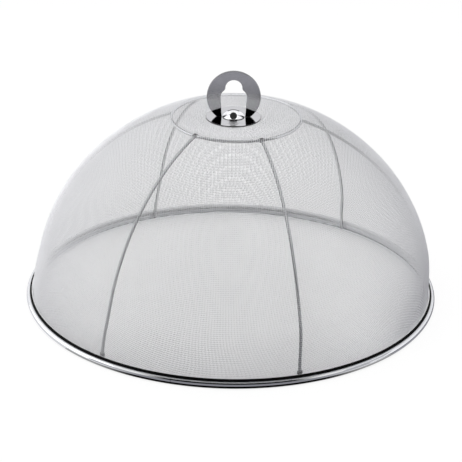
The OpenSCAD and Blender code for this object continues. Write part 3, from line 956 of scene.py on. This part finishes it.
class COVER_OT_stage(PieceOperator, bpy.types.Operator):
    """Set up the floor, the light, the cards and the camera"""

    bl_idname = "cover.stage"
    bl_label = "Stage"

    def execute(self, context):
        studio = self.settings().studio
        scene = context.scene
        scene.view_settings.view_transform = "Standard"
        self.world(scene, studio)
        self.floor(studio)
        for name, middle, wide, tall, level in CARDS:
            self.flag(flat_sheet(name, middle, wide, tall), level)
        self.oval("nut_dot", *NUT_DOT, 0.03)
        self.flag(flat_sheet("nut_brow", *NUT_BROW), 0.0)
        for card in FANS:
            self.fan(*card)
        self.lamp("key_lamp", (-1.3, -0.5, 1.5), 1.2, studio.key)
        self.lamp("top_lamp", (0, 0, 1.9), 2.6, studio.top)
        lens = bpy.data.cameras.new("picture_camera")
        lens.sensor_width, lens.lens = 36, studio.lens
        camera = bpy.data.objects.new("picture_camera", lens)
        camera.matrix_world = (Matrix.Translation(studio.eye) @ Matrix.Rotation(studio.yaw, 4, "Z")
                               @ Matrix.Rotation(math.pi / 2 - studio.pitch, 4, "X")
                               @ Matrix.Rotation(studio.roll, 4, "Z"))
        scene.collection.objects.link(camera)
        scene.camera = camera
        return {"FINISHED"}

    @staticmethod
    def seen(f):
        """1 for camera, glossy and transmission rays, which all see the plain background."""
        path = [f.node("ShaderNodeLightPath", output=name)
                for name in ("Is Camera Ray", "Is Glossy Ray", "Is Transmission Ray")]
        return path[0].sum("MAXIMUM", path[0].sum("MAXIMUM", path[0], path[1]), path[2])

    def world(self, scene, studio):
        """Even light from all round, behind which camera and metal see plain white."""
        scene.world = bpy.data.worlds.new("white_studio")
        f = Finish("white_studio", scene.world)
        lit = f.node("ShaderNodeBackground", inputs={"Color": WHITE, "Strength": studio.sky})
        plain = f.node("ShaderNodeBackground", inputs={"Color": WHITE, "Strength": 1.0})
        both = f.node("ShaderNodeMixShader", inputs={0: self.seen(f), 1: lit, 2: plain})
        f.node("ShaderNodeOutputWorld", inputs={"Surface": both})

    def floor(self, studio):
        """A matt floor just under the rim, nearly plain white to the camera outside the cover."""
        floor = flat_sheet("pale_floor", (0, 0, -0.2 * MM), (4, 0, 0), (0, 4, 0))
        f = Finish("pale_floor")
        x, y, _, spot = f.place()
        dust = f.noise(spot, 3.0, 3)
        outside = distance(x, y).between(RIM_HIGH.x - 2.4 * MM, RIM_HIGH.x - 1 * MM)
        colour = f.blend(dust, tint(studio.floor, 0.99), tint(studio.floor, 1.01))
        matt = f.node("ShaderNodeBsdfDiffuse", inputs={"Color": colour})
        white = f.node("ShaderNodeEmission", inputs={"Color": WHITE, "Strength": 1.0})
        lift = self.seen(f) * outside * studio.floor_lift
        both = f.node("ShaderNodeMixShader", inputs={0: lift, 1: matt, 2: white})
        f.node("ShaderNodeOutputMaterial", inputs={"Surface": both})
        coat(floor, f.material)

    def oval(self, name, middle, half_wide, half_tall, level):
        """An oval card: its middle, plus the half axes times cos a and sin a."""
        a = np.linspace(0, 2 * np.pi, 49)
        edge = np.outer(np.cos(a), half_wide) + np.outer(np.sin(a), half_tall)
        points = np.concatenate([0 * edge, edge]) + np.array(middle)
        self.flag(make_piece(name, points, *grid_faces(2, len(a))), level)

    def fan(self, name, low, inside, high, outside, start, end, level, end_level):
        """A card round the Z axis between two heights, two radii and two angles, in degrees from the front to
        the right: each point is (r sin a, -r cos a, z)."""
        a = np.radians(np.linspace(start, end, 73))
        r, z = np.linspace(inside, outside, 9), np.linspace(low, high, 9)
        x, y = np.outer(r, np.sin(a)), -np.outer(r, np.cos(a))
        points = np.stack([x, y, np.outer(z, np.ones(len(a)))], axis=2)
        self.flag(make_piece(name, points.reshape(-1, 3), *grid_faces(len(r), len(a))), level, end_level)

    @staticmethod
    def flag(card, level, end_level=None):
        """Gives a card a tone, which may change towards its ends, and lets polished metal alone see it."""
        f = Finish(card.name)
        cool = 0.03 if level > 0.05 else 0.0
        levels = (level, level if end_level is None else end_level)
        tones = [(value, value, value + cool, 1.0) for value in levels]
        away = (2 * f.map()[1] - 1).size().between(0.5, 0.8)
        shade = f.node("ShaderNodeEmission", inputs={"Color": f.blend(away, *tones), "Strength": 1.0})
        f.node("ShaderNodeOutputMaterial", inputs={"Surface": shade})
        coat(card, f.material)
        for ray in ("camera", "diffuse", "transmission", "shadow", "volume_scatter"):
            setattr(card, f"visible_{ray}", False)

    @staticmethod
    def lamp(name, place, size, power):
        """A square soft lamp that faces the cover."""
        data = bpy.data.lights.new(name, "AREA")
        data.shape, data.size, data.energy = "SQUARE", size, power
        lamp = bpy.data.objects.new(name, data)
        lamp.location = place
        x, y, z = np.array([0, 0, 0.08]) - np.array(place)
        lamp.rotation_euler = (math.atan2(math.hypot(x, y), -z), 0, math.atan2(-x, y))
        lamp.visible_camera = lamp.visible_glossy = False
        bpy.context.scene.collection.objects.link(lamp)


class COVER_PT_sidebar(bpy.types.Panel):
    """Lists the cover's settings and the buttons that build it"""

    bl_idname = "COVER_PT_sidebar"
    bl_label = "Food Cover"
    bl_space_type = "VIEW_3D"
    bl_region_type = "UI"
    bl_category = "Food Cover"

    def draw(self, context):
        settings = context.scene.food_cover
        for group in (settings.sizes, settings.colours, settings.studio):
            box = self.layout.box()
            for key in group.__annotations__:
                box.prop(group, key)
        for operator in OPERATORS:
            self.layout.operator(operator.bl_idname)


OPERATORS = (COVER_OT_stage, COVER_OT_mesh, COVER_OT_frame, COVER_OT_rim, COVER_OT_handle)
CLASSES = (CoverSizes, CoverColours, StudioSettings, FoodCover, *OPERATORS, COVER_PT_sidebar)


def register():
    for cls in CLASSES:
        bpy.utils.register_class(cls)
    bpy.types.Scene.food_cover = bpy.props.PointerProperty(type=FoodCover)


def unregister():
    del bpy.types.Scene.food_cover
    for cls in reversed(CLASSES):
        bpy.utils.unregister_class(cls)


def main():
    register()
    bpy.ops.cover.stage()
    bpy.ops.cover.mesh()
    bpy.ops.cover.frame()
    bpy.ops.cover.rim()
    bpy.ops.cover.handle()


if __name__ == "__main__":
    main()
